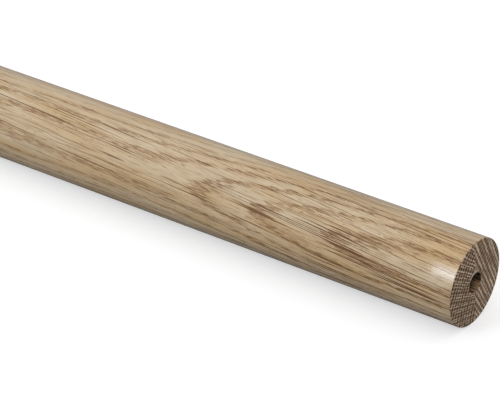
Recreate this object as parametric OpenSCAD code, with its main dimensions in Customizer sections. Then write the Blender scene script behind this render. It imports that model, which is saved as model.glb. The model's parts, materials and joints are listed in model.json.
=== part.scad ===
// A length of round stair handrail, turned from one piece of solid oak.
// The rail lies along X. The origin is the centre of its near end face, and
// +X leads out of that end, so the rail itself runs back along -X.

/* [Rail] */
// Diameter of the rail
rail_d = 42; // [32:1:60]
// Length of the rail, from one end face to the other
rail_len = 1500; // [500:100:4000]
// Radius that eases the edge round each end face
arris_r = 0.5; // [0.2:0.1:2]

/* [Dowel holes] */
// Diameter of the hole drilled on the axis into each end
bore_d = 10; // [6:1:14]
// Depth of each hole, to its flat bottom
bore_depth = 50; // [20:5:80]

/* [Hidden] */
oak = "#bf9f77";
rail_r = rail_d / 2;
// Straight steps that make up each eased edge, seen in section
arris_steps = 6;
// Sides of each round surface
rail_sides = 128;
bore_sides = 64;
// A hole is cut from this far outside the face that it enters
cut_over = 1;

// Quarter circle of an eased edge, as points of the half section. It starts at
// start_angle, and its centre lies at height z along the rail.
function eased_edge(z, start_angle) = [
    for (i = [0:arris_steps])
        let (a = start_angle + 90 * i / arris_steps)
            [rail_r - arris_r + arris_r * cos(a), z + arris_r * sin(a)]
];

// The bar before drilling, standing on its near end: the half section, with
// both outer corners eased, is turned about the axis.
module turned_bar() {
    rotate_extrude($fn = rail_sides)
        polygon(concat(
            [[0, 0]],
            eased_edge(arris_r, -90),
            eased_edge(rail_len - arris_r, 0),
            [[0, rail_len]]
        ));
}

// One drilled hole, entering upwards through the face at z = 0. A lip and spur
// bit leaves its bottom flat.
module dowel_hole() {
    translate([0, 0, -cut_over])
        cylinder(h = cut_over + bore_depth, d = bore_d, $fn = bore_sides);
}

// The finished rail, laid down along -X.
module handrail() {
    color(oak)
        rotate([0, -90, 0])
            difference() {
                turned_bar();
                dowel_hole();
                translate([0, 0, rail_len])
                    mirror([0, 0, 1])
                        dowel_hole();
            }
}

handrail();
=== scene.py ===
"""A length of round oak stair handrail on a pale studio floor, seen towards its drilled near end."""

import json
import math

import bmesh
import bpy
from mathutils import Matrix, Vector


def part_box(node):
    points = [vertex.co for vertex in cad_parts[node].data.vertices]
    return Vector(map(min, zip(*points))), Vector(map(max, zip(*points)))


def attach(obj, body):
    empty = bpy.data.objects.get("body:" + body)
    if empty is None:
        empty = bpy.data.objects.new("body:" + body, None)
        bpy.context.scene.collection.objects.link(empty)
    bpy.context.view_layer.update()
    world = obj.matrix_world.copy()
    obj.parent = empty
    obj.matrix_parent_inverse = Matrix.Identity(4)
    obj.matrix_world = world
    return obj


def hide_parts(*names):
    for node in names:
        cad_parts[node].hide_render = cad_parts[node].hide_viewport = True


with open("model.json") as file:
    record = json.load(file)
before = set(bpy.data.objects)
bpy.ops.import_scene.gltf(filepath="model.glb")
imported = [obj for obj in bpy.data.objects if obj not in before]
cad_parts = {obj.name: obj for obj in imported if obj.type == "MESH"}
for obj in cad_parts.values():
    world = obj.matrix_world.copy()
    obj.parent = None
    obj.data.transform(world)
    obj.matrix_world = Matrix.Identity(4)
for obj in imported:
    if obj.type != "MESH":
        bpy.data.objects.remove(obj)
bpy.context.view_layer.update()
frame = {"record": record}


# The camera looks down on the near end from the front right, with a long
# lens, so the rail runs off the left edge of the picture.
camera_azimuth = math.radians(35.12)
camera_elevation = math.radians(30.92)
camera_data = bpy.data.cameras.new("camera")
camera_data.sensor_width = 36
camera_data.lens = 201.4
camera_data.clip_end = 500
camera = bpy.data.objects.new("camera", camera_data)
camera.location = (0.5165, -0.9068, 0.6648)
camera.rotation_euler = (math.pi / 2 - camera_elevation, 0, camera_azimuth)
bpy.context.scene.collection.objects.link(camera)
bpy.context.scene.camera = camera


# The rail: one length of solid oak, turned to a full round, with its ends
# sawn square, the sharp edge round each end sanded off, and a dowel hole
# drilled into the middle of each end.
mount_sizes = {mount["name"]: mount["dims"] for mount in frame["record"]["mounts"]}
rail_low, rail_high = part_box("handrail")
far_x = rail_low[0]
near_x = rail_high[0]
rail_middle = (near_x + far_x) / 2
rail_length = near_x - far_x
rail_radius = mount_sizes["rail_outside"]["r_mm"] / 1000
hole_radius = mount_sizes["near_end_bore"]["r_mm"] / 1000
hole_depth = mount_sizes["near_end_bore"]["length_mm"] / 1000
sanded_edge = (rail_length - mount_sizes["rail_outside"]["length_mm"] / 1000) / 2
round_sides = 192
edge_steps = 6
stretches = 30


def select_nothing(mesh):
    for part in (*mesh.faces, *mesh.edges, *mesh.verts):
        part.select_set(False)


def select_faces(mesh, wanted):
    """Selects the faces that pass a test, and the edges and corners that belong to them."""
    select_nothing(mesh)
    for face in mesh.faces:
        if wanted(face):
            face.select_set(True)


bpy.ops.object.select_all(action="DESELECT")
bpy.ops.mesh.primitive_cylinder_add(
    vertices=round_sides,
    radius=rail_radius,
    depth=rail_length,
    location=(rail_middle, 0, 0),
    rotation=(0, math.pi / 2, 0),
)
rail = bpy.context.object
rail.name = "oak_rail"
rail.data.name = "oak_rail"
bpy.ops.object.transform_apply(location=True, rotation=True, scale=True)
bpy.ops.object.mode_set(mode="EDIT")
rail_mesh = bmesh.from_edit_mesh(rail.data)

# Each end face gets a ring at the hole's width, and the disc inside it is
# pushed in to the bottom of the hole. A face looks along the rail if its
# normal has more than this share of X.
along_rail = 0.9
select_faces(rail_mesh, lambda face: abs(face.normal.x) > along_rail)
bpy.ops.mesh.inset(thickness=rail_radius - hole_radius)
for outward in (1, -1):
    select_faces(
        rail_mesh,
        lambda face: face.normal.x * outward > along_rail and len(face.verts) == round_sides,
    )
    bpy.ops.mesh.extrude_region_move(TRANSFORM_OT_translate={"value": (-outward * hole_depth, 0, 0)})

# The edge round each end is sanded to a small radius.
same_place = 1e-6
least_radius = 0.99 * rail_radius
select_nothing(rail_mesh)
for edge in rail_mesh.edges:
    first, second = (corner.co for corner in edge.verts)
    at_an_end = min(abs(first.x - near_x), abs(first.x - far_x)) < same_place
    at_the_rim = min(first.yz.length, second.yz.length) > least_radius
    if first.x == second.x and at_an_end and at_the_rim:
        edge.select_set(True)
bpy.ops.mesh.bevel(offset=sanded_edge, segments=edge_steps, profile=0.5, affect="EDGES")

# Cuts across the rail divide its long faces, and the first and last cut keep
# the shading of the sanded edges tight.
end_cut = 3 * sanded_edge
cuts = [far_x + rail_length * step / stretches for step in range(1, stretches)]
for cut in (*cuts, near_x - end_cut, far_x + end_cut):
    bpy.ops.mesh.select_all(action="SELECT")
    bpy.ops.mesh.bisect(plane_co=(cut, 0, 0), plane_no=(1, 0, 0))
bpy.ops.object.mode_set(mode="OBJECT")
bpy.ops.object.shade_smooth_by_angle(angle=math.radians(30))
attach(rail, "root")
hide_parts("handrail")


# The oak: growth rings, pores and rays run through the whole solid, so the
# round, the sawn ends and the hole walls all cut the same wood. The front half
# of the bar grew round one pith and the back half round another.
def add_node(tree, kind, inputs=None, **settings):
    """Adds a shader node; each named input takes a value or another node's output."""
    made = tree.nodes.new(kind)
    for name, value in settings.items():
        setattr(made, name, value)
    for name, value in (inputs or {}).items():
        if isinstance(value, bpy.types.NodeSocket):
            tree.links.new(value, made.inputs[name])
        else:
            made.inputs[name].default_value = value
    return made


def calculate(tree, operation, *values):
    return add_node(tree, "ShaderNodeMath", dict(enumerate(values)), operation=operation).outputs[0]


def multiply(tree, first, second):
    return calculate(tree, "MULTIPLY", first, second)


def ramp(tree, value, low, high, low_result=0.0, high_result=1.0):
    """Rises smoothly from one result to the other while the value goes from low to high."""
    made = add_node(tree, "ShaderNodeMapRange", {
        "Value": value,
        "From Min": low,
        "From Max": high,
        "To Min": low_result,
        "To Max": high_result,
    }, interpolation_type="SMOOTHSTEP")
    return made.outputs["Result"]


def calculate_vector(tree, operation, *values):
    return add_node(tree, "ShaderNodeVectorMath", dict(enumerate(values)), operation=operation).outputs[0]


def axes_of(tree, vector):
    return add_node(tree, "ShaderNodeSeparateXYZ", {0: vector}).outputs


def across_part(tree, axes):
    """The part of a vector that points across the rail."""
    return add_node(tree, "ShaderNodeCombineXYZ", {1: axes[1], 2: axes[2]}).outputs[0]


def length_of(tree, vector):
    return add_node(tree, "ShaderNodeVectorMath", {0: vector}, operation="LENGTH").outputs["Value"]


def reach_along(tree, vector, direction):
    """How far a vector reaches in a direction."""
    made = add_node(tree, "ShaderNodeVectorMath", {0: vector, 1: direction}, operation="DOT_PRODUCT")
    return made.outputs["Value"]


def across_rail(angle, distance=1.0):
    """The point at this distance from the rail's axis, at an angle from +Y up towards +Z."""
    return (0.0, distance * math.cos(angle), distance * math.sin(angle))


# A Mix node has several sockets of one name, so they go by number.
def blend_colours(tree, factor, first, second):
    made = add_node(tree, "ShaderNodeMix", {0: factor, 6: first, 7: second}, data_type="RGBA")
    return made.outputs[2]


def blend_values(tree, factor, first, second):
    made = add_node(tree, "ShaderNodeMix", {0: factor, 2: first, 3: second}, data_type="FLOAT")
    return made.outputs[0]


def noise(tree, place, detail, roughness=0.5):
    made = add_node(tree, "ShaderNodeTexNoise", {
        "Vector": place,
        "Scale": 1.0,
        "Detail": detail,
        "Roughness": roughness,
    })
    return made.outputs["Fac"]


def new_group(name, inputs, outputs):
    """Starts a shader node group with named sockets, and returns it with its two end nodes."""
    group = bpy.data.node_groups.new(name, "ShaderNodeTree")
    for socket, kind in inputs:
        group.interface.new_socket(socket, in_out="INPUT", socket_type=kind)
    for socket in outputs:
        group.interface.new_socket(socket, in_out="OUTPUT", socket_type="NodeSocketFloat")
    return group, group.nodes.new("NodeGroupInput").outputs, group.nodes.new("NodeGroupOutput").inputs


# Growth rings round one pith, and the rays that run out from it. Sizes are in
# millimetres, along the grain first, but a ray's width is a share of the gap
# from one ray to the next.
rings, given, result = new_group(
    "growth rings",
    (
        ("Place", "NodeSocketVector"),
        ("Pith", "NodeSocketVector"),
        ("Ring width", "NodeSocketFloat"),
        ("Waver", "NodeSocketFloat"),
        ("Ray gap", "NodeSocketFloat"),
        ("Ray width", "NodeSocketFloat"),
        ("Ray run", "NodeSocketFloat"),
        ("Ray waver", "NodeSocketFloat"),
    ),
    ("Ring", "Rays"),
)
to_pith = axes_of(rings, calculate_vector(rings, "SUBTRACT", given["Pith"], given["Place"]))
radius = length_of(rings, across_part(rings, to_pith))
ring_count = calculate(rings, "DIVIDE", calculate(rings, "ADD", radius, given["Waver"]), given["Ring width"])
rings.links.new(calculate(rings, "FRACT", ring_count), result["Ring"])

# Each ray is a thin sheet out from the pith, with its own place and strength,
# and it comes and goes along the grain and on its way out.
ray_length = 13.0
next_ray = 7.3
around = multiply(rings, calculate(rings, "ARCTAN2", to_pith[2], to_pith[1]), length_of(rings, given["Pith"]))
ray_count = calculate(rings, "DIVIDE", calculate(rings, "ADD", around, given["Ray waver"]), given["Ray gap"])
ray_number = calculate(rings, "FLOOR", ray_count)
white_noise = add_node(rings, "ShaderNodeTexWhiteNoise", {"W": ray_number}, noise_dimensions="1D")
own = add_node(rings, "ShaderNodeSeparateColor", {0: white_noise.outputs["Color"]}).outputs
ray_middle = calculate(rings, "MULTIPLY_ADD", own[0], 0.4, 0.3)
ray_strength = calculate(rings, "MULTIPLY_ADD", own[1], 0.45, 0.55)
ray_offset = calculate(rings, "SUBTRACT", calculate(rings, "FRACT", ray_count), ray_middle)
off_middle = calculate(rings, "DIVIDE", calculate(rings, "ABSOLUTE", ray_offset), given["Ray width"])
sheet = multiply(rings, ramp(rings, off_middle, 0.3, 1.0, 1.0, 0.0), ray_strength)
run_place = add_node(rings, "ShaderNodeCombineXYZ", {
    0: calculate(rings, "DIVIDE", to_pith[0], ray_length),
    1: multiply(rings, ray_number, next_ray),
    2: calculate(rings, "DIVIDE", radius, given["Ray run"]),
}).outputs[0]
showing = ramp(rings, noise(rings, run_place, 1.0), 0.35, 0.55, 0.25, 1.0)
rings.links.new(multiply(rings, sheet, showing), result["Rays"])


# The wood of the rail. It takes a place on the rail in metres, works in
# millimetres from the near end, and gives a mask for each thing that grew
# there, and for the half of the bar that the place is in.
oak, given, result = new_group(
    "oak",
    (("Position", "NodeSocketVector"), ("Fray", "NodeSocketFloat"), ("Pore width", "NodeSocketFloat")),
    ("Early wood", "Pores", "Streaks", "Fibres", "Rays", "Patches", "Back half"),
)
place = calculate_vector(oak, "MULTIPLY", given["Position"], (-1000.0, 1000.0, 1000.0))
from_end, sideways, upwards = axes_of(oak, place)


def sway(height, length, start=0.0):
    """A slow sine along the grain, zero at start. Its length and start are in millimetres."""
    turn = multiply(oak, calculate(oak, "SUBTRACT", from_end, start), 2 * math.pi / length)
    return multiply(oak, calculate(oak, "SINE", turn), height)


# The bar was sawn a little across the rings, which draws the arches on the
# round, and its fibres wind slowly round it.
front_angle = math.radians(-30)
back_angle = math.radians(-57)
lean = calculate(oak, "ADD", sway(13.8, 2400.0), sway(1.15, 210.0, 105.0))
leaning = add_node(oak, "ShaderNodeVectorMath", {0: across_rail(front_angle), 3: lean}, operation="SCALE")
ring_place = calculate_vector(oak, "ADD", place, leaning.outputs[0])
winding = sway(1.05, 1800.0)
wound = add_node(oak, "ShaderNodeVectorRotate", {"Vector": place, "Angle": winding}, rotation_type="X_AXIS")
grain = wound.outputs[0]


def grain_noise(along, across, detail, roughness=0.5, offset=0.0):
    """Noise drawn out along the grain; its sizes along and across are in millimetres."""
    scale = (1 / along, 1 / across, 1 / across)
    stretched = calculate_vector(oak, "MULTIPLY_ADD", grain, scale, (offset, offset, offset))
    return noise(oak, stretched, detail, roughness)


def centred(value, amount):
    """Makes noise, which swings about a half, swing about zero instead."""
    return multiply(oak, calculate(oak, "SUBTRACT", value, 0.5), amount)


# The rings waver slowly and fray from fibre to fibre, and the rays waver too.
fray = multiply(oak, centred(grain_noise(16.0, 0.6, 2.0, offset=31.0), 1.3), given["Fray"])
waver = calculate(oak, "ADD", centred(grain_noise(60.0, 13.0, 1.0, offset=53.0), 1.7), fray)
ray_waver = centred(grain_noise(40.0, 4.0, 1.0, offset=47.0), 0.9)
ring_width = 2.4
halves = []
for pith, ray_gap, ray_width, ray_run in (
    (across_rail(front_angle, 57.2), 1.22, 0.28, 4.0),
    (across_rail(back_angle, 150.0), 2.25, 0.34, 18.0),
):
    half = add_node(oak, "ShaderNodeGroup", {
        "Place": ring_place,
        "Pith": pith,
        "Ring width": ring_width,
        "Waver": waver,
        "Ray gap": ray_gap,
        "Ray width": ray_width,
        "Ray run": ray_run,
        "Ray waver": ray_waver,
    }, node_tree=rings)
    halves.append(half.outputs)
front, back = halves

# The halves meet in a plane that is a little off upright. Early wood is the
# open, darker part of each ring.
back_half = ramp(oak, calculate(oak, "MULTIPLY_ADD", upwards, 0.08, sideways), -0.8, 0.8)
ring = blend_values(oak, back_half, front["Ring"], back["Ring"])
rays = blend_values(oak, back_half, front["Rays"], back["Rays"])
early_wood = multiply(oak, ramp(oak, ring, 0.0, 0.1), ramp(oak, ring, 0.2, 0.55, 1.0, 0.0))

# Pores are short fine lines along the grain, and crowd in the early wood.
pore_length = 5.0
pore_across = calculate(oak, "DIVIDE", 1.0, given["Pore width"])
pore_scale = add_node(oak, "ShaderNodeCombineXYZ", {0: 1 / pore_length, 1: pore_across, 2: pore_across})
pore_noise = noise(oak, calculate_vector(oak, "MULTIPLY", grain, pore_scale.outputs[0]), 1.0)
pore_limit = calculate(oak, "MULTIPLY_ADD", early_wood, -0.2, 0.66)
pores = ramp(oak, calculate(oak, "SUBTRACT", pore_noise, pore_limit), 0.0, 0.08)

# Dark streaks gather here and there, most of all at the near end, in two
# bands to either side of a plainer one.
plain_angle = math.radians(135.75)
beside_plain = reach_along(oak, grain, across_rail(plain_angle + math.pi / 2))
banded = ramp(oak, calculate(oak, "ABSOLUTE", beside_plain), 6.0, 11.0, 0.0, 0.08)
gathered = multiply(oak, banded, ramp(oak, from_end, 30.0, 140.0, 1.0, 0.0))
crowding = calculate(oak, "ADD", centred(grain_noise(90.0, 6.0, 1.0, offset=71.0), 0.2), gathered)
streak_limit = calculate(oak, "SUBTRACT", calculate(oak, "MULTIPLY_ADD", early_wood, -0.03, 0.655), crowding)
streak_noise = grain_noise(42.0, 0.38, 0.0, offset=97.0)
streaks = ramp(oak, calculate(oak, "SUBTRACT", streak_noise, streak_limit), 0.0, 0.06)

for name, mask in (
    ("Early wood", early_wood),
    ("Pores", pores),
    ("Streaks", streaks),
    ("Fibres", grain_noise(11.0, 0.4, 2.0, roughness=0.6)),
    ("Rays", rays),
    ("Patches", grain_noise(60.0, 8.0, 2.0, offset=51.0)),
    ("Back half", back_half),
):
    oak.links.new(mask, result[name])


# The round: planed and sanded smooth under a clear satin lacquer, which
# fills the pores and leaves them as dark lines. Its figure is calmer away
# from the near end, and calmest at the back.
def new_material(name, fray=1.0, pore_width=0.44):
    """Starts a material; returns it, its tree, its shader's inputs, the wood's masks and the place."""
    made = bpy.data.materials.new(name)
    made.use_nodes = True
    tree = made.node_tree
    position = add_node(tree, "ShaderNodeTexCoord").outputs["Object"]
    wood = add_node(tree, "ShaderNodeGroup", {
        "Position": position,
        "Fray": fray,
        "Pore width": pore_width,
    }, node_tree=oak)
    return made, tree, tree.nodes["Principled BSDF"].inputs, wood.outputs, position


def lay_over(tree, ground, layers):
    """Lays the colour of each layer over the ground, as strongly as its mask says."""
    for mask, colour in layers:
        ground = blend_colours(tree, mask, ground, colour)
    return ground


def add_relief(tree, shader, height, strength, distance):
    bump = add_node(tree, "ShaderNodeBump", {"Height": height, "Strength": strength, "Distance": distance})
    tree.links.new(bump.outputs["Normal"], shader["Normal"])


round_oak, tree, shader, wood, position = new_material("lacquered oak")
warm_oak = (0.565, 0.391, 0.207, 1)
pale_oak = (0.62, 0.5, 0.345, 1)
ground = blend_colours(tree, ramp(tree, wood["Patches"], 0.25, 0.8), warm_oak, pale_oak)
towards_near_end = ramp(tree, axes_of(tree, position)[0], -0.23, -0.02, 0.82, 1.1)
figured = multiply(tree, ramp(tree, wood["Back half"], 0.0, 1.0, 1.0, 0.5), towards_near_end)
early_fibres = multiply(tree, ramp(tree, wood["Fibres"], 0.43, 0.58), wood["Early wood"])
ground = lay_over(tree, ground, [
    (multiply(tree, mask, multiply(tree, figured, depth)), brown)
    for mask, depth, brown in (
        (wood["Early wood"], 0.2, (0.45, 0.25, 0.09, 1)),
        (early_fibres, 0.33, (0.31, 0.15, 0.048, 1)),
        (ramp(tree, wood["Fibres"], 0.42, 0.7), 0.58, (0.31, 0.165, 0.06, 1)),
        (wood["Pores"], 0.62, (0.17, 0.075, 0.019, 1)),
        (wood["Streaks"], 0.95, (0.15, 0.06, 0.015, 1)),
    )
])
tree.links.new(ground, shader["Base Color"])
shader["Roughness"].default_value = 0.6
shader["Specular IOR Level"].default_value = 0.2
shader["Coat Weight"].default_value = 1.0
shader["Coat Roughness"].default_value = 0.04
shader["Coat IOR"].default_value = 1.5
relief = calculate(tree, "SUBTRACT", multiply(tree, wood["Fibres"], 0.2), wood["Pores"])
add_relief(tree, shader, relief, 0.1, 0.00015)


# The sawn ends: bare end grain, darker and rough, with open pores. Dark rows
# of early wood stand out in the front half, and pale rays in the back half.
end_oak, tree, shader, wood, position = new_material("sawn end grain", fray=0.3, pore_width=1.0)
bare_front = (0.265, 0.174, 0.107, 1)
bare_back = (0.25, 0.165, 0.10, 1)
bare_oak = blend_colours(tree, wood["Back half"], bare_front, bare_back)
rows = multiply(tree, wood["Early wood"], blend_values(tree, wood["Back half"], 1.0, 0.55))
rays = multiply(tree, wood["Rays"], blend_values(tree, wood["Back half"], 0.85, 1.0))
open_pores = multiply(tree, wood["Pores"], blend_values(tree, wood["Back half"], 1.0, 0.65))

# A thin lip of fibres raised by the drill round each hole, painted pale over the top only as a painted
# highlight where it glints.
glint_angle = math.radians(108)
lip_radius = hole_radius + 0.0006
on_face = across_part(tree, axes_of(tree, position))
off_lip = calculate(tree, "ABSOLUTE", calculate(tree, "SUBTRACT", length_of(tree, on_face), lip_radius))
towards_glint = reach_along(tree, on_face, across_rail(glint_angle))
# Painted highlight: the lip is pale only on the side towards the glint angle.
lip_glint = multiply(
    tree,
    ramp(tree, off_lip, 0.0003, 0.0006, 1.0, 0.0),
    ramp(tree, towards_glint, 0.0040, 0.0052, 0.0, 0.9),
)
ground = lay_over(tree, bare_oak, (
    (rows, (0.03, 0.014, 0.006, 1)),
    (rays, (0.75, 0.60, 0.455, 1)),
    (open_pores, (0.02, 0.009, 0.004, 1)),
    (lip_glint, (0.50, 0.43, 0.37, 1)),
))
tree.links.new(ground, shader["Base Color"])
shader["Roughness"].default_value = 0.85
shader["Specular IOR Level"].default_value = 0.1
add_relief(tree, shader, multiply(tree, wood["Pores"], -1.0), 0.4, 0.0002)


# The hole walls: the same grain, scored along the hole by the drill, and
# darkened by painted shade, most of all deep inside and at the top.
hole_oak, tree, shader, wood, position = new_material("drilled oak")
along, _, upwards = axes_of(tree, position)
fresh_oak = (0.50, 0.31, 0.165, 1)
fresh_early_wood = (0.17, 0.086, 0.038, 1)
ground = blend_colours(tree, wood["Early wood"], fresh_oak, fresh_early_wood)
scoring = noise(tree, calculate_vector(tree, "MULTIPLY", position, (40.0, 1500.0, 1500.0)), 1.0)
from_middle = calculate(tree, "ABSOLUTE", calculate(tree, "SUBTRACT", along, rail_middle))
inside = calculate(tree, "SUBTRACT", rail_length / 2, from_middle)
# Painted shade: the walls go nearly black deep inside the hole and on its upper side.
painted_depth_shade = ramp(tree, inside, 0.001, 0.006)
painted_top_shade = ramp(tree, upwards, -0.0035, 0.002, 0.0, 0.86)
ground = lay_over(tree, ground, (
    (ramp(tree, scoring, 0.48, 0.58, 0.0, 0.9), (0.06, 0.028, 0.012, 1)),
    (ramp(tree, wood["Fibres"], 0.4, 0.65, 0.0, 0.7), (0.07, 0.033, 0.015, 1)),
    (multiply(tree, wood["Pores"], 0.85), (0.05, 0.026, 0.013, 1)),
    (calculate(tree, "MAXIMUM", painted_depth_shade, painted_top_shade), (0.02, 0.010, 0.007, 1)),
))
tree.links.new(ground, shader["Base Color"])
shader["Roughness"].default_value = 0.8

# A face inside the hole's width is hole wall or bottom, and one that looks
# out along the rail is sawn end.
within_hole = hole_radius * 1.001
looks_out = 0.4
finishes = (round_oak, end_oak, hole_oak)
for material in finishes:
    rail.data.materials.append(material)
for face in rail.data.polygons:
    if face.center.yz.length < within_hole:
        face.material_index = finishes.index(hole_oak)
    elif abs(face.normal.x) > looks_out:
        face.material_index = finishes.index(end_oak)


# The studio floor: plain and pale, under the rail. It is white to the eye and
# throws less light back up, so the underside of the rail stays darker.
bpy.ops.object.select_all(action="DESELECT")
bpy.ops.mesh.primitive_plane_add(size=200, location=(0, 0, -rail_radius))
floor = bpy.context.object
floor.name = "floor"
floor_paint = bpy.data.materials.new("pale floor")
floor_paint.use_nodes = True
tree = floor_paint.node_tree
shader = tree.nodes["Principled BSDF"].inputs
floor_to_light = (0.29, 0.29, 0.29, 1)
floor_to_eye = (0.6, 0.6, 0.6, 1)
floor_glow = 0.5
seen = add_node(tree, "ShaderNodeLightPath").outputs["Is Camera Ray"]
tree.links.new(blend_colours(tree, seen, floor_to_light, floor_to_eye), shader["Base Color"])
shader["Roughness"].default_value = 1.0
shader["Specular IOR Level"].default_value = 0.0
shader["Emission Color"].default_value = (1, 1, 1, 1)
tree.links.new(multiply(tree, seen, floor_glow), shader["Emission Strength"])
floor.data.materials.append(floor_paint)


# Soft white light from all round. The lacquer mirrors it more dimly than it
# lights the wood.
sky_light = 0.9
mirrored_sky = 0.34
world = bpy.data.worlds.new("studio")
world.use_nodes = True
bpy.context.scene.world = world
tree = world.node_tree
sky = tree.nodes["Background"].inputs
sky["Color"].default_value = (1, 1, 1, 1)
mirrored = add_node(tree, "ShaderNodeLightPath").outputs["Is Glossy Ray"]
tree.links.new(blend_values(tree, mirrored, sky_light, mirrored_sky), sky["Strength"])


# One tall softbox, made of panels hung in an arc in front of the rail and to
# its left, and dimmer towards its ends. It glints in the lacquer close to the
# near end.
panel_distance = 1.8
panel_height = 0.25
panel_width = 0.454
panel_right_edge = -0.41
panel_energies = (1.2, 2.4, 3.5, 2.4, 1.2)
cool_white = (0.8, 0.9, 1.0)
arc_middle = math.radians(34)
arc_step = 2 * math.atan(panel_height / 2 / panel_distance)
for step, energy in enumerate(panel_energies, start=-2):
    panel_data = bpy.data.lights.new("softbox", "AREA")
    panel_data.shape = "RECTANGLE"
    panel_data.size = panel_width
    panel_data.size_y = panel_height
    panel_data.energy = energy
    panel_data.color = cool_white
    panel = bpy.data.objects.new("softbox", panel_data)
    angle = arc_middle + step * arc_step
    outward = Vector((0, -math.cos(angle), math.sin(angle)))
    panel.location = outward * panel_distance + Vector((panel_right_edge - panel_width / 2, 0, 0))
    panel.rotation_euler = outward.to_track_quat("Z", "Y").to_euler()
    bpy.context.scene.collection.objects.link(panel)

bpy.context.scene.view_settings.view_transform = "Standard"
